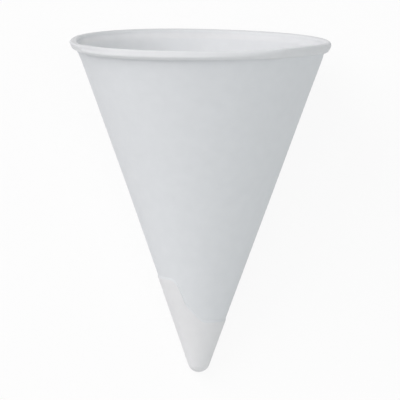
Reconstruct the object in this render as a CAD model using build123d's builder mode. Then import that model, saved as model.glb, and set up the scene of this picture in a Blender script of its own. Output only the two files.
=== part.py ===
# Cone paper cup with a rolled rim: one blank of paper, wound into a cone, lapped and glued up the
# back, wrapped once more round its tip, and rolled outwards at the rim.
# The cup lies on its side, as it comes to rest on a table: the nose and a short flat on the roll of
# the rim touch the table at Z = 0, the mouth faces +Y, and the glued lap, the heavier side, is
# underneath.
# The origin is on the table, below the middle of the cup. Lengths are in millimetres.

import os
from math import acos, asin, atan2, cos, degrees, hypot, radians, sin

from build123d import *

# Driving dimensions.
rim_diameter = 73.0
cup_height = 93.0
ply = 0.2
nose_radius = 3.1

# The rolled rim in section is a spiral of flats. Its outer flats keep the full radius, the next
# ones close in so that the sheet passes inside its own start, and the last ones are tucked in.
roll_radius = 0.98
roll_clearance = 0.05
flats_to_a_turn = 12
outer_flat_count = 9
closing_flat_count = 3
tucked_flat_count = 1

# The roll is pressed flat where it crosses the glued lap, by this much, and the cup rests there.
pressed_depth = 0.3

# The band inside the roll is crimped nearly upright, which leaves a crease round the inside.
crease_drop = 2.35
band_angle = 5.0

# The glued lap, measured round the rim, and the wing that wraps the tip once more. The wing's top
# edge leaves the lap high on the cup's left side, falls across the front, and stays low round the
# right side to the lap again. Its heights are slants, measured up the wall from where the wall
# would meet the axis. The fall is given as angles with the share of it that is done there.
# Angles are turned about the cup's axis from its upper side, towards +X.
lap_width = 15.0
lap_middle = 180.0
wing_high_slant = 34.4
wing_low_slant = 21.8
wing_fall = [(-45, 0), (-35, 0.1), (-30, 0.31), (-25, 0.56), (-18, 0.7), (-8, 0.83), (3, 0.95), (18, 1)]
wing_steps_beside_fall = 3

# Sections are drawn with X as the radius and Y as the height above the nose.
rim_radius = rim_diameter / 2
roll_centre = Vector(rim_radius - roll_radius, cup_height - roll_radius)
nose_centre = Vector(0, nose_radius)
inner_nose_radius = nose_radius - 2 * ply
outer_nose_radius = nose_radius - ply


def up_the_wall(angle):
    """The way up a wall that leans out from the axis by this angle."""
    return Vector(sin(radians(angle)), cos(radians(angle)))


def into_the_cup(angle):
    """The way from such a wall towards the axis, square to it."""
    return Vector(-cos(radians(angle)), sin(radians(angle)))


def roll_corner(flat, out):
    """The corner that ends this flat of the roll, this far out from the sheet's inner face."""
    closed = min(max(flat - outer_flat_count, 0) / closing_flat_count, 1)
    radius = roll_radius - closed * (ply + roll_clearance) - out
    angle = radians(180 - flat * 360 / flats_to_a_turn)
    return roll_centre + Vector(cos(angle), sin(angle)) * radius


# The band's inner face runs up into the roll, and the crease is at the foot of the band.
band_top = roll_corner(0, 0)
band_length = (band_top.Y - (cup_height - crease_drop)) / cos(radians(band_angle))
crease = band_top - up_the_wall(band_angle) * band_length

# The wall's inner face runs from the crease to the round inside of the nose.
reach = crease - nose_centre
wall_angle = degrees(acos(inner_nose_radius / hypot(reach.X, reach.Y)) - atan2(reach.Y, reach.X))

# How the cup lies: its axis rises by this angle, so that roll and nose both touch the table.
ring_reach = roll_centre - nose_centre
ring_span = hypot(ring_reach.X, ring_reach.Y)
resting_radius = roll_radius - pressed_depth
axis_rise = degrees(atan2(ring_reach.X, ring_reach.Y) + asin((resting_radius - nose_radius) / ring_span))
mouth_reach = ring_reach.Y * cos(radians(axis_rise)) + ring_reach.X * sin(radians(axis_rise))
nose_centre_y = (nose_radius - roll_radius - mouth_reach) / 2
axis_direction = Vector(0, cos(radians(axis_rise)), sin(radians(axis_rise)))
nose_tip = Vector(0, nose_centre_y, nose_radius) - axis_direction * nose_radius

# The cup's own plane stands square to its axis at the nose, and sections stand along the axis.
cup_plane = Plane(origin=nose_tip, x_dir=(1, 0, 0), z_dir=axis_direction)
section_plane = Plane(origin=nose_tip, x_dir=(1, 0, 0), z_dir=-cup_plane.y_dir)
cup_axis = Axis(nose_tip, axis_direction)


def sheet_face(out):
    """One face of the sheet in section, this far out from its inner face: nose, wall and roll."""
    nose = CenterArc(nose_centre, inner_nose_radius + out, -90, 90 - wall_angle)
    fold_angle = (wall_angle + band_angle) / 2
    fold = crease - into_the_cup(fold_angle) * (out / cos(radians(wall_angle - fold_angle)))
    flats = outer_flat_count + closing_flat_count + tucked_flat_count
    roll = Polyline(nose @ 1, fold, *[roll_corner(flat, out) for flat in range(flats + 1)])
    return nose @ 0, roll @ 1


def on_footprint(radius, angle):
    """A point on the cup's own plane, at an angle turned from the cup's upper side towards +X."""
    return (radius * sin(radians(angle)), -radius * cos(radians(angle)))


def wing_edge(angle, fallen):
    """A point on the wing's top edge, with this share of its fall done."""
    slant = wing_high_slant - fallen * (wing_high_slant - wing_low_slant)
    return on_footprint(slant * sin(radians(wall_angle)), angle)


def angles_between(first, last, steps):
    """Angles that divide the way from first to last, without first."""
    return [first + (last - first) * step / steps for step in range(1, steps + 1)]


# The glued ply lies on the outside of the wall and ends inside the roll. Its footprint is cut
# straight beyond the rim, where there is no paper.
beyond_the_rim = rim_diameter
glued_ply_top = roll_centre.Y - 0.6 * roll_radius
lap_angle = degrees(lap_width / rim_radius)
lap_start = lap_middle - lap_angle / 2
lap_end = lap_middle + lap_angle / 2

# The wing's top edge, from the lap's far side to its near side by way of the cup's upper side.
high_angles = angles_between(wing_fall[0][0], lap_end - 360, wing_steps_beside_fall)
low_angles = angles_between(wing_fall[-1][0], lap_start, wing_steps_beside_fall)
wing_top_edge = [wing_edge(angle, 0) for angle in reversed(high_angles)]
wing_top_edge += [wing_edge(angle, fallen) for angle, fallen in wing_fall]
wing_top_edge += [wing_edge(angle, 1) for angle in low_angles]

with BuildPart() as glued_ply:
    with BuildSketch(section_plane):
        with BuildLine():
            on_the_wall = CenterArc(nose_centre, outer_nose_radius, -90, 90 - wall_angle)
            outside = CenterArc(nose_centre, nose_radius, -90, 90 - wall_angle)
            length = (glued_ply_top - (on_the_wall @ 1).Y) / cos(radians(wall_angle))
            Polyline(
                on_the_wall @ 1,
                on_the_wall @ 1 + up_the_wall(wall_angle) * length,
                outside @ 1 + up_the_wall(wall_angle) * length,
                outside @ 1,
            )
            Line(outside @ 0, on_the_wall @ 0)
        make_face()
    revolve(axis=cup_axis)
    with BuildSketch(cup_plane):
        with BuildLine():
            Spline(wing_top_edge)
            Polyline(
                wing_top_edge[-1],
                on_footprint(beyond_the_rim, lap_start),
                on_footprint(beyond_the_rim, lap_end),
                wing_top_edge[0],
            )
        make_face()
    extrude(amount=cup_height, mode=Mode.INTERSECT)

# Where the roll is pressed flat, the sheet lies on the table with its full thickness.
with BuildPart() as pressed_sheet:
    with BuildSketch(section_plane):
        with BuildLine():
            Polyline(*[roll_corner(flat, 0) for flat in range(outer_flat_count + 1)], close=True)
        make_face()
    revolve(axis=cup_axis)
    Box(
        rim_diameter, 3 * cup_height, ply,
        align=(Align.CENTER, Align.CENTER, Align.MIN), mode=Mode.INTERSECT,
    )

with BuildPart() as cone_cup:
    with BuildSketch(section_plane):
        with BuildLine():
            inner_nose, inner_edge = sheet_face(0)
            outer_nose, outer_edge = sheet_face(ply)
            Line(inner_nose, outer_nose)
            Line(inner_edge, outer_edge)
        make_face()
    revolve(axis=cup_axis)
    add(glued_ply.part)
    add(pressed_sheet.part)
    with Locations((0, nose_centre_y + mouth_reach, 0)):
        Box(
            rim_diameter, 4 * roll_radius, roll_radius,
            align=(Align.CENTER, Align.CENTER, Align.MAX), mode=Mode.SUBTRACT,
        )

cone_cup.part.label = "cone_cup"

os.makedirs("parts", exist_ok=True)
export_step(cone_cup.part, "parts/cone_cup.step")
print("wall leans out by", round(wall_angle, 2), "degrees; axis rises by", round(axis_rise, 2), "degrees")
print("volume of paper", round(cone_cup.part.volume, 1), "mm3")
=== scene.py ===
# %% [markdown]
# # A cone paper cup
# The cup of a water cooler: one blank of white paper, wound into a cone, lapped and glued up the
# back, wrapped once more round its tip and rolled outwards at the rim. It can't stand on its tip,
# so it lies on its side, and the camera looks down on it as the photograph looks at it upright.
#
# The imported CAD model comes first. It fixes where the cup lies and how large it is, and the cup
# that is modelled here takes its place in the picture.

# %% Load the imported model
from math import acos, atan2, cos, degrees, exp, hypot, pi, radians, sin, tan

import bpy
from mathutils import Matrix, Vector


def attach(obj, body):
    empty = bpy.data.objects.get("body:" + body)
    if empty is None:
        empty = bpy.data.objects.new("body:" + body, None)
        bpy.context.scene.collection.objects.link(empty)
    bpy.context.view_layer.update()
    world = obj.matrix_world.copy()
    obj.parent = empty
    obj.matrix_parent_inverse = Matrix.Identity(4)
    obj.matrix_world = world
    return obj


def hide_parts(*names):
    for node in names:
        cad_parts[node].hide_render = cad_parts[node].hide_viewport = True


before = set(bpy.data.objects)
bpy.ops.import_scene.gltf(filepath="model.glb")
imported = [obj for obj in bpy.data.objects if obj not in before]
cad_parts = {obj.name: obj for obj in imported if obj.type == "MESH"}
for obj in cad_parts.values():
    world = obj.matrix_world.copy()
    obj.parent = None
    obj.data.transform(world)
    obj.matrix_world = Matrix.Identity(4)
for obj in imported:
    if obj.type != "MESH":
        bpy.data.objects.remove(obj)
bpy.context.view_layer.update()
mm = 0.001

# %% [markdown]
# ## The camera
# The photograph looks at the cup from a little above the plane of its mouth, through a long lens.
# The cup's axis rises from the table by the angle that lets its nose and its roll both touch, so
# the camera leans back from straight above by that angle less its own rise over the mouth.
# The camera is also turned very slightly, because the photographed cup leans to the right.

# %% Place the camera
axis_rise = radians(20.3265)
rise_over_mouth = radians(6.25)
lean_of_cup = radians(0.65)
camera_distance = 2.0
width_in_view = 111.68 * mm
looked_at = Vector((-0.17, -3.26, 14.18)) * mm

camera = bpy.data.objects.new("camera", bpy.data.cameras.new("camera"))
bpy.context.collection.objects.link(camera)
bpy.context.scene.camera = camera
camera.data.lens = camera.data.sensor_width * camera_distance / width_in_view
turned = Matrix.Rotation(axis_rise - rise_over_mouth, 4, "X") @ Matrix.Rotation(lean_of_cup, 4, "Z")
drawn_back = Matrix.Translation((0, 0, camera_distance))
camera.matrix_world = Matrix.Translation(looked_at) @ turned @ drawn_back
camera.data.clip_end = 10
print("camera lens in mm:", round(camera.data.lens))

# %% [markdown]
# ## The paper in section
# A cup like this is a figure of revolution, so its whole form is one line: the path of the paper
# from the middle of the nose up the wall, over the crease under the rim, and round the roll until
# its edge is tucked in. The wall is drawn in by a hair at mid height, as wound paper is, and it
# meets the crease over a fine ledge, which the crimp leaves. The line is drawn as radius and height
# above the nose, with the cup upright. It follows the face of the paper that is inside the cup, and
# that face ends up outside on the roll.

# %% The sizes of the cup
rim_radius = 36.5 * mm
cup_height = 93.0 * mm
ply = 0.2 * mm
nose_radius = 3.1 * mm
roll_radius = 0.98 * mm
roll_clearance = 0.05 * mm
crease_radius = 34.42 * mm
crease_height = 90.65 * mm
roll_centre = (rim_radius - roll_radius, cup_height - roll_radius)
inner_nose_radius = nose_radius - 2 * ply

# The wall is the straight run that leaves the round nose and meets the crease.
reach = (crease_radius, crease_height - nose_radius)
wall_angle = acos(inner_nose_radius / hypot(*reach)) - atan2(reach[1], reach[0])
print("the wall leans out by", round(degrees(wall_angle), 2), "degrees")


# %% The nose and the wall
def around(centre, radius, angle):
    """A point on a circle in the section, at an angle in radians from straight outwards."""
    return (centre[0] + radius * cos(angle), centre[1] + radius * sin(angle))


def nose_arc(radius, steps):
    """The round nose, from beside its middle to where the wall leaves it."""
    turn = pi / 2 - wall_angle
    turned_to = [-pi / 2 + turn * k / steps for k in range(1, steps + 1)]
    return [around((0, nose_radius), radius, angle) for angle in turned_to]


def along(start, end, steps):
    """Points that divide a straight run, without its start."""
    return [
        (start[0] + (end[0] - start[0]) * k / steps, start[1] + (end[1] - start[1]) * k / steps)
        for k in range(1, steps + 1)
    ]


def drawn_in(points, depth):
    """A straight run of points, drawn in towards the axis by this depth in its middle."""
    count = len(points)
    share = [4 * (k + 1) / count * (1 - (k + 1) / count) for k in range(count)]
    return [(radius - depth * part, height) for (radius, height), part in zip(points, share)]


ledge_width = 0.05 * mm
ledge_height = 0.5 * mm
waist = 0.17 * mm
nose_steps = 12
nose_points = nose_arc(inner_nose_radius, nose_steps)
ledge_foot = crease_radius - ledge_width - ledge_height * tan(wall_angle)
wall_run = along(nose_points[-1], (ledge_foot, crease_height - ledge_height), steps=60)
wall_points = drawn_in(wall_run, waist)
print("points on the nose and the wall:", len(nose_points), "and", len(wall_points))


# %% The ledge, the band and the roll
def smooth_between(low, high, value):
    """0 below low, 1 above high, and a soft step between them."""
    share = min(max((value - low) / (high - low), 0), 1)
    return share * share * (3 - 2 * share)


roll_start, roll_end = 180, -240
closing_start, closing_turn = -90, 90


def roll_arc(step):
    """The roll: its full radius at first, then closing in to pass inside its own start."""
    points = []
    for angle in range(roll_start, roll_end - 1, -step):
        closed = smooth_between(0, closing_turn, closing_start - angle)
        radius = roll_radius - closed * (ply + roll_clearance)
        points.append(around(roll_centre, radius, radians(angle)))
    return points


roll_points = roll_arc(step=10)
path = nose_points + wall_points
path += along(path[-1], (crease_radius, crease_height), steps=2)
path += along(path[-1], roll_points[0], steps=3)
path += roll_points[1:]
print("points on the whole path of the paper:", len(path))

# %% [markdown]
# ## Winding the cup
# The cup is raised from a small disc at the middle of the nose. Its edge is extruded from one point
# of the path to the next, and each new ring is scaled about the cup's axis to its own radius.
# A spin of the path would give the same form, but rings can also slide a little sideways on their
# way up: the rim of the real cup was rolled just off the cone's axis, so its left side stands
# further out than its right. The faces are then turned to point into the cup, because the steps
# after this one push points and grow the paper along them.

# %% Raise the sheet ring by ring
wall_drift = -0.27 * mm
rim_drift = -0.65 * mm
drift_start, drift_on_wall, drift_on_rim = 45 * mm, 88 * mm, 92 * mm
segments_round = 256


def drift(height):
    """How far a ring at this height stands to the side of the cup's axis."""
    wall_part = wall_drift * smooth_between(drift_start, drift_on_wall, height)
    rim_part = smooth_between(drift_on_wall, drift_on_rim, height)
    return wall_part + (rim_drift - wall_drift) * rim_part


def select_nothing():
    """Deselect every object, because an operator acts on all that is selected."""
    bpy.ops.object.select_all(action="DESELECT")


def deselect_mesh():
    """In edit mode, deselect every corner, edge and face."""
    bpy.ops.mesh.select_all(action="DESELECT")


def raise_rings(name, points):
    """A sheet of revolution, extruded from a small disc through the points of its section."""
    select_nothing()
    radius, height = points[0]
    bpy.ops.mesh.primitive_circle_add(
        vertices=segments_round, radius=radius, fill_type="TRIFAN", location=(0, 0, 0)
    )
    sheet = bpy.context.object
    sheet.name = sheet.data.name = name
    bpy.ops.object.mode_set(mode="EDIT")
    bpy.ops.transform.translate(value=(0, 0, height))
    deselect_mesh()
    bpy.ops.mesh.select_non_manifold(extend=False)
    for next_radius, next_height in points[1:]:
        across = drift(next_height) - drift(height)
        bpy.ops.mesh.extrude_edges_move(
            TRANSFORM_OT_translate={"value": (across, 0, next_height - height)}
        )
        scale = next_radius / radius
        bpy.ops.transform.resize(
            value=(scale, scale, 1), center_override=(drift(next_height), 0, next_height)
        )
        radius, height = next_radius, next_height
    bpy.ops.object.mode_set(mode="OBJECT")
    return sheet


cup = raise_rings("paper_cup", path)
print("the sheet has", len(cup.data.polygons), "faces")


# %% Turn its faces into the cup
def select_only(piece):
    """Select this object alone and make it the active one."""
    select_nothing()
    piece.select_set(True)
    bpy.context.view_layer.objects.active = piece


def faces_point_to_axis(piece):
    """Whether a face halfway up the wall points towards the cup's axis."""
    face = min(piece.data.polygons, key=lambda f: abs(f.center.z - cup_height / 2))
    return face.normal.dot(Vector((face.center.x, face.center.y, 0))) < 0


def merge_and_align(piece):
    """Merge corners that are in one place, and turn all faces to one side."""
    select_only(piece)
    bpy.ops.object.mode_set(mode="EDIT")
    bpy.ops.mesh.select_all(action="SELECT")
    bpy.ops.mesh.remove_doubles(threshold=0.001 * mm)
    bpy.ops.mesh.normals_make_consistent(inside=False)
    bpy.ops.object.mode_set(mode="OBJECT")


def point_into_cup(piece):
    """Turn every face to point into the cup. On the roll that is outwards."""
    merge_and_align(piece)
    if not faces_point_to_axis(piece):
        bpy.ops.object.mode_set(mode="EDIT")
        bpy.ops.mesh.flip_normals()
        bpy.ops.object.mode_set(mode="OBJECT")


point_into_cup(cup)
print("faces point into the cup:", faces_point_to_axis(cup))

# %% [markdown]
# ## The rim as it was really rolled
# A machine rolls this rim in a moment, so it isn't quite even. Each unevenness is a Displace
# modifier that a vertex group weighs. The weight is a soft shape in the rim's section times a soft
# shape round the cup. Angles round the cup are counted from its upper side, which faces the camera,
# towards its right. Angles in the section are counted from straight outwards, so the roll's crest
# is at 90 degrees, and it starts at 180, at the top of the band.

# %% Soft weights, and a push by weight
def hill(middle, reach):
    """A weight of 1 at the middle angle that falls softly to 0 at this reach. Degrees."""
    return lambda angle: 1 - smooth_between(0, reach, abs((angle - middle + 180) % 360 - 180))


def span(first, last, fade_in, fade_out):
    """A weight of 1 from the first angle to the last, with a soft step beyond each. Degrees."""

    def weight(angle):
        begun = smooth_between(first - fade_in, first, angle)
        return begun * (1 - smooth_between(last, last + fade_out, angle))

    return weight


def round_the_cup(place):
    """The angle of a place about the axis, from the cup's upper side towards its right. Degrees."""
    return degrees(atan2(place.x, -place.y))


def in_section(place):
    """Where a place stands from the roll's centre: how far out, how far up, and at which angle."""
    out = hypot(place.x - drift(place.z), place.y) - roll_centre[0]
    up = place.z - roll_centre[1]
    return out, up, degrees(atan2(up, out))


def apply_modifier(piece, kind, **settings):
    """Add a modifier with these settings and apply it."""
    select_only(piece)
    modifier = piece.modifiers.new(kind.lower(), kind)
    for name, value in settings.items():
        setattr(modifier, name, value)
    bpy.ops.object.modifier_apply(modifier=modifier.name)


def displace(name, direction, distance, by_place, by_angle):
    """Move the cup's corners by a distance, times a weight by place and one by angle."""
    group = cup.vertex_groups.new(name=name)
    moved = 0
    for vertex in cup.data.vertices:
        weight = by_place(vertex.co) * by_angle(round_the_cup(vertex.co))
        if weight > 0:
            group.add([vertex.index], weight, "REPLACE")
            moved += 1
    settings = {"direction": direction, "strength": distance, "mid_level": 0, "vertex_group": name}
    apply_modifier(cup, "DISPLACE", **settings)
    print(name, "moves", moved, "corners by up to", round(abs(distance) / mm, 2), "mm")


# %% [markdown]
# The crimp went deeper at the back, on both sides of the middle, so the band there leans out more
# and takes more light.

# %% Crimp the crease deeper behind
crease_fades_at = 86.5 * mm
band_fades_at = 92.2 * mm
crimp = 0.55 * mm


def near_crease(place):
    """1 at the crease, fading out up the band and down the wall, and 0 on the roll."""
    out = in_section(place)[0]
    if out > -0.5 * roll_radius:
        return 0
    up_the_wall = smooth_between(crease_fades_at, crease_height, place.z)
    return up_the_wall * (1 - smooth_between(crease_height, band_fades_at, place.z))


at_back_left = span(-150, -112, fade_in=40, fade_out=22)
at_back_right = span(112, 150, fade_in=22, fade_out=40)
displace("crimped_at_left", "NORMAL", crimp, near_crease, at_back_left)
displace("crimped_at_right", "NORMAL", crimp, near_crease, at_back_right)

# %% [markdown]
# At its left end the roll was knocked: it is wider there, sits a little low, and has a kink where
# the good part starts.

# %% Widen and sink the left end
kink = -66
rim_fades_at, full_rim_at = 84 * mm, 92 * mm


def near_rim(place):
    """1 at the rim, fading out down the wall."""
    return smooth_between(rim_fades_at, full_rim_at, place.z)


def on_inner_crest(place):
    """1 at the top of the roll's inner side, fading out to its crest and to the band."""
    out, up, angle = in_section(place)
    tucked_inside = hypot(out, up) < 0.85 * roll_radius
    return 0 if tucked_inside else hill(150, reach=60)(angle)


displace("wide_at_left", "NORMAL", 0.5 * mm, on_inner_crest, hill(-90, reach=22))
displace("sunk_at_left", "Z", -0.2 * mm, near_rim, span(-94, kink, fade_in=12, fade_out=1))

# %% [markdown]
# In front the wall flares out to the roll. It is drawn in most at 6 mm below the crease, and the
# faces point into the cup, so a push along them draws it in.

# %% Flare the wall in front
flare_reach = 6 * mm


def below_rim(place):
    """1 at the flare's reach below the crease, fading out up to the crease and down the wall."""
    below = max(crease_height - place.z, 0) / flare_reach
    return below * exp(1 - below)


displace("flared", "NORMAL", 0.17 * mm, below_rim, hill(8, reach=62))

# %% [markdown]
# In front and at the right the rolling die pressed the roll's underside to the wall. That closes
# the groove behind it: its faces go down to cover the gap, and in towards the axis to meet the
# wall. At the right the way to the axis turns from back to left, so the tuck is done in two parts.

# %% Close the groove behind the roll
tuck = 0.4 * mm


def into_groove(place):
    """1 where the roll closes in to the wall from below, fading out to both sides."""
    out, up, angle = in_section(place)
    if hypot(out, up) < 0.5 * roll_radius or place.z < crease_height:
        return 0
    return span(-140, -120, fade_in=35, fade_out=70)(angle)


def tucked_left(angle):
    """How much of the tuck goes to the left at this angle."""
    return span(58, 110, fade_in=26, fade_out=25)(angle) * sin(radians(angle))


def tucked_back(angle):
    """How much of the tuck goes to the back at this angle."""
    return span(58, 90, fade_in=26, fade_out=1)(angle) * cos(radians(angle))


in_front = span(kink, 25, fade_in=20, fade_out=20)
at_right = span(45, 110, fade_in=25, fade_out=25)
displace("tucked_left", "X", -tuck, into_groove, tucked_left)
displace("tucked_back", "Y", tuck, into_groove, tucked_back)
displace("tucked_in_front", "Y", 0.15 * mm, into_groove, in_front)
displace("closed_in_front", "Z", -0.5 * mm, into_groove, in_front)
displace("closed_at_right", "Z", -0.9 * mm, into_groove, at_right)

# %% [markdown]
# The roll isn't quite round either. It was pressed to shallow flats at its left end, in front and
# at the right. What stands beyond a flat is pushed back to it.

# %% Press flats on the roll
flat_depth = 0.6 * mm


def beyond_flat(slope, left):
    """A weight by how far a place stands beyond a flat.

    The flat faces out at this slope in degrees, and leaves this share of the roll's radius.
    """

    def weight(place):
        out, up = in_section(place)[:2]
        if out < -0.3 * roll_radius or up < -1.2 * roll_radius:
            return 0
        reached = out * cos(radians(slope)) + up * sin(radians(slope))
        return max(reached - left * roll_radius, 0) / flat_depth

    return weight


for name, flat, stretch_of_rim in [
    ("flat_at_left", beyond_flat(-20, left=0.6), span(-98, kink, fade_in=20, fade_out=1)),
    ("flat_in_front", beyond_flat(10, left=0.72), span(kink, -5, fade_in=1, fade_out=40)),
    ("flat_at_right", beyond_flat(-12, left=0.5), span(48, 76, fade_in=22, fade_out=16)),
]:
    displace(name, "NORMAL", -flat_depth, flat, stretch_of_rim)

# %% [markdown]
# Last, the rim rises and falls a little on its way round, and the roll hangs where it is loose.

# %% Let the rim rise and fall
displace("low", "Z", -0.3 * mm, near_rim, hill(-60, reach=60))
displace("high", "Z", 0.45 * mm, near_rim, hill(52, reach=38))
displace("high_at_back", "Z", 0.24 * mm, near_rim, hill(-145, reach=60))


# %% Let the roll hang
def under_roll(place):
    """1 at the roll's underside, fading out up to its middle, and 0 on the wall."""
    out, up = in_section(place)[:2]
    return smooth_between(-0.7 * roll_radius, 0, out) * (1 - smooth_between(-roll_radius, 0, up))


def right_of_kink(angle):
    """A hill at the left front that ends at the kink, because the kink holds the roll."""
    return hill(-45, reach=50)(angle) * span(kink, 180, fade_in=1, fade_out=1)(angle)


displace("loose", "Z", -0.36 * mm, under_roll, right_of_kink)
displace("hanging", "Z", -0.16 * mm, under_roll, hill(-5, reach=45))
displace("slack", "Z", -0.3 * mm, under_roll, hill(92, reach=40))
print("the rim's highest point in mm:", round(max(v.co.z for v in cup.data.vertices) / mm, 2))

# %% [markdown]
# Light and shade are painted into the paper's colour in two places. A highlight is painted on the
# band inside the roll at the back, and shade along the roll's crest there, at its left end and by
# the kink. Both places are written to the mesh as attributes, for the material to read.

# %% Mark where a highlight and shade are painted
band_low_edge = (90.4 * mm, 90.7 * mm)
band_high_edge = (91.6 * mm, 92.4 * mm)


def mark(piece, name, domain, values):
    """Write one number for each corner or face to the mesh."""
    attribute = piece.data.attributes.new(name, "FLOAT", domain)
    attribute.data.foreach_set("value", values)


def painted_band_highlight(place):
    """Painted highlight: 1 on the band inside the roll, at the back and at the far left, with soft
    edges.
    """
    above_low_edge = smooth_between(*band_low_edge, place.z)
    on_band = above_low_edge * (1 - smooth_between(*band_high_edge, place.z))
    angle = round_the_cup(place)
    return on_band * max(hill(180, reach=62)(angle), hill(-115, reach=24)(angle))


def painted_roll_shade(place):
    """How much shade is painted on the roll: along its crest behind and at the left, and by the
    kink.
    """
    angle_in_section = in_section(place)[2]
    crest = span(49, 119, fade_in=34, fade_out=34)(angle_in_section)
    face = span(-20, 119, fade_in=30, fade_out=34)(angle_in_section)
    angle = round_the_cup(place)
    behind = 0.7 * span(110, 180, fade_in=20, fade_out=1)(abs(angle))
    behind += 0.3 * span(-140, -105, fade_in=25, fade_out=15)(angle)
    at_left = span(-112, -60, fade_in=10, fade_out=14)(angle)
    by_the_kink = 0.6 * span(kink, -54, fade_in=1, fade_out=10)(angle)
    return max(crest * behind, crest * at_left, face * by_the_kink)


for name, weight_of in [("painted_band_highlight", painted_band_highlight), ("painted_roll_shade", painted_roll_shade)]:
    weights = [weight_of(vertex.co) for vertex in cup.data.vertices]
    mark(cup, name, "POINT", weights)
    print(name, "corners:", sum(weight > 0 for weight in weights))

# %% [markdown]
# ## Laying the cup down
# So far the cup stands upright on its nose, where every ring is level and easy to work on. Now it
# is turned to lie as the CAD cup lies, on its nose and its roll. The turn is applied to the mesh,
# so the object itself stays at the origin with no turn of its own.

# %% Lay the sheet down
def lay_down(piece):
    """Turn an upright piece onto the table, as the CAD cup lies, and apply that to its mesh."""
    piece.matrix_world = lying
    select_only(piece)
    bpy.ops.object.transform_apply(location=True, rotation=True, scale=True)


ring_reach = (roll_centre[0], roll_centre[1] - nose_radius)
mouth_reach = ring_reach[1] * cos(axis_rise) + ring_reach[0] * sin(axis_rise)
nose_centre_y = (nose_radius - roll_radius - mouth_reach) / 2
up_the_axis = Vector((0, cos(axis_rise), sin(axis_rise)))
nose_tip = Vector((0, nose_centre_y, nose_radius)) - up_the_axis * nose_radius
lying = Matrix.Translation(nose_tip) @ Matrix.Rotation(axis_rise - pi / 2, 4, "X")
lay_down(cup)
print("the nose stands at", [round(v / mm, 2) for v in nose_tip], "mm")

# %% [markdown]
# ## Where the roll is pressed flat, and the paper's thickness
# The roll would reach a little below the table where it crosses the lap. There its points are
# squashed up to the table by a resize to nothing in Z, before the sheet gets its thickness, so the
# flat keeps a whole ply. Solidify then grows the ply from the face inside the cup outwards. The
# faces that were there before it are the paper's inner side, and they are marked for the material.

# %% Press the roll flat
def select_points(piece, chosen):
    """Go to edit mode with the corners selected whose places pass this test."""
    bpy.ops.object.mode_set(mode="EDIT")
    bpy.ops.mesh.select_mode(type="VERT")
    deselect_mesh()
    bpy.ops.object.mode_set(mode="OBJECT")
    for vertex in piece.data.vertices:
        vertex.select = chosen(vertex.co)
    count = sum(vertex.select for vertex in piece.data.vertices)
    bpy.ops.object.mode_set(mode="EDIT")
    return count


print("points pressed flat:", select_points(cup, lambda place: place.y > 0 and place.z < 0))
bpy.ops.transform.resize(value=(1, 1, 0), center_override=(0, 0, 0))
bpy.ops.object.mode_set(mode="OBJECT")

# %% Give the sheet its ply
inner_count = len(cup.data.polygons)
apply_modifier(cup, "SOLIDIFY", thickness=ply, offset=-1)
outer_count = len(cup.data.polygons) - inner_count
mark(cup, "inner_face", "FACE", [1.0] * inner_count + [0.0] * outer_count)
print("faces on the paper's inner side:", inner_count, "and on its outer side:", outer_count)

# %% [markdown]
# ## The glued lap and the wing round the tip
# The blank's second ply shows outside as a low step: up both sides of the lap at the back, and
# round the tip, where a wing of the blank is wound once more. The wing's top edge leaves the lap
# high on the left, falls across the front of the tip, and stays low round the right side to the
# lap.
#
# The ply is raised in rings like the cup, thickened, and cut with a die: an outline curve, extruded
# to a block and intersected with the ply.

# %% The second ply, all round
overlap = 0.04 * mm
glued_ply_top = 91.3 * mm
set_out = ply - overlap
ply_path = nose_arc(inner_nose_radius + set_out, nose_steps)
ply_path += [(r + set_out * cos(wall_angle), h - set_out * sin(wall_angle)) for r, h in wall_points]
above = (glued_ply_top - ply_path[-1][1]) * tan(wall_angle)
ply_path.append((ply_path[-1][0] + above, glued_ply_top))
glued_ply = raise_rings("glued_ply", ply_path)
mark(glued_ply, "second_ply", "FACE", [1.0] * len(glued_ply.data.polygons))
point_into_cup(glued_ply)
lay_down(glued_ply)
apply_modifier(glued_ply, "SOLIDIFY", thickness=ply + overlap, offset=-1, use_even_offset=True)
print("the second ply has", len(glued_ply.data.polygons), "faces before it is cut")

# %% The outline of the second ply
lap_width = 15.0 * mm
lap_middle = 180.0
lap_angle = degrees(lap_width / rim_radius)
lap_start, lap_end = lap_middle - lap_angle / 2, lap_middle + lap_angle / 2
wing_high_slant = 34.4 * mm
wing_low_slant = 21.8 * mm
wing_fall = [
    (-45, 0), (-35, 0.1), (-30, 0.31), (-25, 0.56), (-18, 0.7), (-8, 0.83), (3, 0.95), (18, 1),
]


def beside_axis(radius, angle):
    """A point on the cup's own plane, at an angle turned from its upper side."""
    return (radius * sin(radians(angle)), -radius * cos(radians(angle)))


def share_fallen(angle):
    """How much of the wing edge's fall is done at this angle, by a soft curve through the list."""
    if angle <= wing_fall[0][0]:
        return wing_fall[0][1]
    for k in range(len(wing_fall) - 1):
        (start, low), (end, high) = wing_fall[k], wing_fall[k + 1]
        if angle <= end:
            before = wing_fall[max(k - 1, 0)]
            after = wing_fall[min(k + 2, len(wing_fall) - 1)]
            width = end - start
            slope_in = (high - before[1]) / (end - before[0]) * width if k else 0
            slope_out = (after[1] - low) / (after[0] - start) * width if end != after[0] else 0
            t = (angle - start) / width
            rise = (3 - 2 * t) * t * t * (high - low)
            return low + rise + t * (1 - t) * ((1 - t) * slope_in - t * slope_out)
    return 1


edge_steps = 168
outline = []
for step in range(edge_steps + 1):
    angle = lap_end - 360 + (lap_start - lap_end + 360) * step / edge_steps
    slant = wing_high_slant - share_fallen(angle) * (wing_high_slant - wing_low_slant)
    outline.append(beside_axis(slant * sin(wall_angle), angle))
outline += [beside_axis(2 * rim_radius, lap_start), beside_axis(2 * rim_radius, lap_end)]
print("the lap takes", round(lap_angle, 1), "degrees, and its outline", len(outline), "points")

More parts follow.
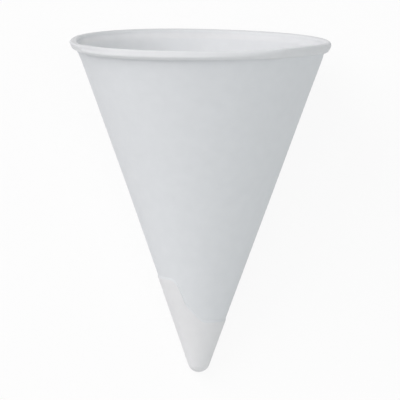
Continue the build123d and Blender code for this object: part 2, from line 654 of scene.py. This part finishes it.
# %% The die that cuts it
die_curve = bpy.data.curves.new("die", "CURVE")
die_curve.dimensions = "2D"
die_curve.fill_mode = "BOTH"
die_curve.extrude = cup_height
spline = die_curve.splines.new("POLY")
spline.points.add(len(outline) - 1)
for point, (x, y) in zip(spline.points, outline):
    point.co = (x, y, 0, 1)
spline.use_cyclic_u = True
die = bpy.data.objects.new("die", die_curve)
bpy.context.collection.objects.link(die)
select_only(die)
bpy.ops.object.convert(target="MESH")
die = bpy.context.object
lay_down(die)
die_reach = [round(max(v.co[k] for v in die.data.vertices) / mm, 1) for k in range(3)]
print("the die reaches, in mm:", die_reach)

# %% Cut the ply and join it to the cup
merge_and_align(die)
apply_modifier(glued_ply, "BOOLEAN", operation="INTERSECT", solver="EXACT", object=die)
bpy.data.objects.remove(die)
bevel = {"width": 0.1 * mm, "segments": 2, "limit_method": "ANGLE", "angle_limit": radians(50)}
apply_modifier(glued_ply, "BEVEL", **bevel)
print("the cut ply has", len(glued_ply.data.polygons), "faces")
select_only(cup)
glued_ply.select_set(True)
bpy.ops.object.join()
bpy.ops.object.shade_smooth_by_angle(angle=radians(35))
print("the whole cup has", sum(len(f.vertices) - 2 for f in cup.data.polygons), "triangles")

# %% [markdown]
# ## White paper
# Bleached cup paper is a cool white and quite matt. Close to, it is cloudy, because its fibres lie
# unevenly, and its face is a felt of fibres too fine to see at arm's length. So the colour varies
# by two parts in a hundred over a few millimetres, and two fine noises give the surface its bump:
# one stretched into fibres, one for the felt's lumps.
# The paper's two sides differ a little: the inner one, which also shows on the roll, is the less
# blue. Where the paper lies in two plies, at the wing and the lap, it is more opaque and so a
# brighter and more neutral white. The band inside the roll at the back has a painted highlight of
# that same white. Along the roll's crest behind, at its left end and by the kink, painted shade
# makes it greyer.

# %% The paper's clouds and fibres
def add_node(tree, kind, **settings):
    """A new node with these settings."""
    node = tree.nodes.new(kind)
    for name, value in settings.items():
        setattr(node, name, value)
    return node


def maths(tree, operation, first, second):
    """A number that is worked out from two others."""
    node = add_node(tree, "ShaderNodeMath", operation=operation)
    tree.links.new(first, node.inputs[0])
    tree.links.new(second, node.inputs[1])
    return node.outputs[0]


def noise(tree, coordinates, scale, detail, stretch=None):
    """A noise texture over the object's own coordinates, stretched if asked."""
    node = add_node(tree, "ShaderNodeTexNoise")
    node.inputs["Scale"].default_value = scale
    node.inputs["Detail"].default_value = detail
    if stretch:
        mapping = add_node(tree, "ShaderNodeMapping")
        mapping.inputs["Scale"].default_value = stretch
        tree.links.new(coordinates, mapping.inputs["Vector"])
        coordinates = mapping.outputs["Vector"]
    tree.links.new(coordinates, node.inputs["Vector"])
    return node.outputs["Fac"]


paper = bpy.data.materials.new("white_paper")
paper.use_nodes = True
tree = paper.node_tree
shader = tree.nodes["Principled BSDF"]
shader.inputs["Roughness"].default_value = 0.8
shader.inputs["Specular IOR Level"].default_value = 0.25

coordinates = add_node(tree, "ShaderNodeTexCoord").outputs["Object"]
cloudiness = noise(tree, coordinates, scale=320, detail=4)
fibres = noise(tree, coordinates, scale=1500, detail=3, stretch=(1, 0.35, 1))
felt = noise(tree, coordinates, scale=4000, detail=2)
bump = add_node(tree, "ShaderNodeBump")
bump.inputs["Strength"].default_value = 0.25
bump.inputs["Distance"].default_value = 0.02 * mm
tree.links.new(maths(tree, "ADD", fibres, felt), bump.inputs["Height"])
tree.links.new(bump.outputs["Normal"], shader.inputs["Normal"])
print("nodes for the paper's clouds and fibres:", len(tree.nodes))


# %% The paper's whites
def cloudy_white(tree, cloudiness, thin, thick):
    """A white that clouds between two colours."""
    colours = add_node(tree, "ShaderNodeValToRGB")
    for element, position, colour in zip(colours.color_ramp.elements, (0.3, 0.7), (thin, thick)):
        element.position = position
        element.color = (*colour, 1)
    tree.links.new(cloudiness, colours.inputs["Fac"])
    return colours.outputs["Color"]


def attribute(tree, name):
    """The number that was written to the mesh under this name."""
    return add_node(tree, "ShaderNodeAttribute", attribute_name=name).outputs["Fac"]


def blend(tree, factor, first, second):
    """The first colour where the factor is 0, and the second where it is 1."""
    # A Mix node has sockets for every kind of data, and these are the ones for colours.
    first_colour, second_colour, result = 6, 7, 2
    node = add_node(tree, "ShaderNodeMix", data_type="RGBA")
    tree.links.new(factor, node.inputs["Factor"])
    tree.links.new(first, node.inputs[first_colour])
    tree.links.new(second, node.inputs[second_colour])
    return node.outputs[result]


outer_side = cloudy_white(tree, cloudiness, (0.770, 0.795, 0.818), (0.790, 0.815, 0.838))
inner_side = cloudy_white(tree, cloudiness, (0.777, 0.794, 0.811), (0.797, 0.814, 0.831))
# The white of two plies, which is also the painted highlight on the band at the back.
two_plies_and_highlight = cloudy_white(tree, cloudiness, (0.803, 0.812, 0.824), (0.823, 0.832, 0.844))
# A grey for the shade that is painted on the roll.
painted_shade_grey = cloudy_white(tree, cloudiness, (0.692, 0.708, 0.723), (0.710, 0.726, 0.741))

one_ply = blend(tree, attribute(tree, "inner_face"), outer_side, inner_side)
# Whiter where there are two plies, and where a highlight is painted on the band at the back.
whiter = maths(tree, "MAXIMUM", attribute(tree, "second_ply"), attribute(tree, "painted_band_highlight"))
white = blend(tree, whiter, one_ply, two_plies_and_highlight)
# Painted shade greys the roll's crest behind, its left end and the paper by the kink.
all_paper = blend(tree, attribute(tree, "painted_roll_shade"), white, painted_shade_grey)
tree.links.new(all_paper, shader.inputs["Base Color"])

cup.data.materials.clear()
cup.data.materials.append(paper)
print("nodes in the paper's material:", len(tree.nodes))

# %% [markdown]
# ## Table and light
# The photograph is a studio picture on pure white. A large soft key stands above the camera's left
# shoulder, a second softer lamp stands straight over the cup, and a weak fill, a hair cooler than
# the key, reaches its right side. A small lamp stands close to the tip, so that its light fades a
# little towards the rim. The table is a white sheet far larger than the view. Its shader adds just
# enough glow for the camera's rays that the bare table is white, and the cup's soft shadow stays on
# it. The world gives a faint light from all round, and is white where the camera sees it.

# %% The white table
def seen_directly(tree):
    """1 for the camera's own rays and what mirrors and glass show, 0 for the rays that light."""
    rays = add_node(tree, "ShaderNodeLightPath").outputs
    camera_or_mirror = maths(tree, "MAXIMUM", rays["Is Camera Ray"], rays["Is Glossy Ray"])
    return maths(tree, "MAXIMUM", camera_or_mirror, rays["Is Transmission Ray"])


glow_share = 0.9
gap_under_cup = 0.05 * mm

select_nothing()
bpy.ops.mesh.primitive_plane_add(size=8, location=(0, 0, -gap_under_cup))
table = bpy.context.object
table.name = table.data.name = "white_table"
table_white = bpy.data.materials.new("table_white")
table_white.use_nodes = True
tree = table_white.node_tree
tree.nodes.clear()
lit = add_node(tree, "ShaderNodeBsdfDiffuse")
lit.inputs["Color"].default_value = (0.85, 0.85, 0.85, 1)
glow = add_node(tree, "ShaderNodeEmission")
glow.inputs["Color"].default_value = (1, 1, 1, 1)
share = add_node(tree, "ShaderNodeMath", operation="MULTIPLY")
share.inputs[1].default_value = glow_share
tree.links.new(seen_directly(tree), share.inputs[0])
mixed = add_node(tree, "ShaderNodeMixShader")
tree.links.new(share.outputs[0], mixed.inputs["Fac"])
tree.links.new(lit.outputs[0], mixed.inputs[1])
tree.links.new(glow.outputs[0], mixed.inputs[2])
surface = add_node(tree, "ShaderNodeOutputMaterial")
tree.links.new(mixed.outputs[0], surface.inputs["Surface"])
table.data.materials.append(table_white)
print("nodes in the table's material:", len(tree.nodes))

# %% The world
world_light = 0.28
world = bpy.data.worlds.new("studio")
world.use_nodes = True
bpy.context.scene.world = world
tree = world.node_tree
background = tree.nodes["Background"]
background.inputs["Color"].default_value = (1, 1, 1, 1)
strength = add_node(tree, "ShaderNodeMapRange")
strength.inputs["To Min"].default_value = world_light
strength.inputs["To Max"].default_value = 1
tree.links.new(seen_directly(tree), strength.inputs["Value"])
tree.links.new(strength.outputs["Result"], background.inputs["Strength"])
bpy.context.scene.view_settings.view_transform = "Standard"


# %% The lamps
lamp_size_per_metre = 0.77
hardly_warm = (1.0, 0.97, 0.972)
hardly_cool = (0.955, 1.0, 1.0)


def soft_lamp(name, towards, power, colour=(1, 1, 1), distance=1.3):
    """A square lamp in this direction, this many metres from the cup and facing it."""
    lamp = bpy.data.objects.new(name, bpy.data.lights.new(name, "AREA"))
    bpy.context.collection.objects.link(lamp)
    lamp.data.size = lamp_size_per_metre * distance
    lamp.data.energy = power
    lamp.data.color = colour
    lamp.location = Vector(towards).normalized() * distance
    lamp.rotation_euler = Vector(towards).to_track_quat("Z", "Y").to_euler()
    return lamp


lamps = [
    soft_lamp("key_lamp", (-0.8, 0.6, 1), 9.4, hardly_warm),
    soft_lamp("top_lamp", (0, 0, 1), 4.4),
    soft_lamp("tip_fill", (-0.18, -1, 0.3), 0.43, distance=0.45),
    soft_lamp("right_fill", (1, 0, 0.3), 3.2, hardly_cool),
]
print("lamps:", [lamp.name for lamp in lamps])

# %% Hand the cup over
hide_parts("cone_cup")
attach(cup, "root")
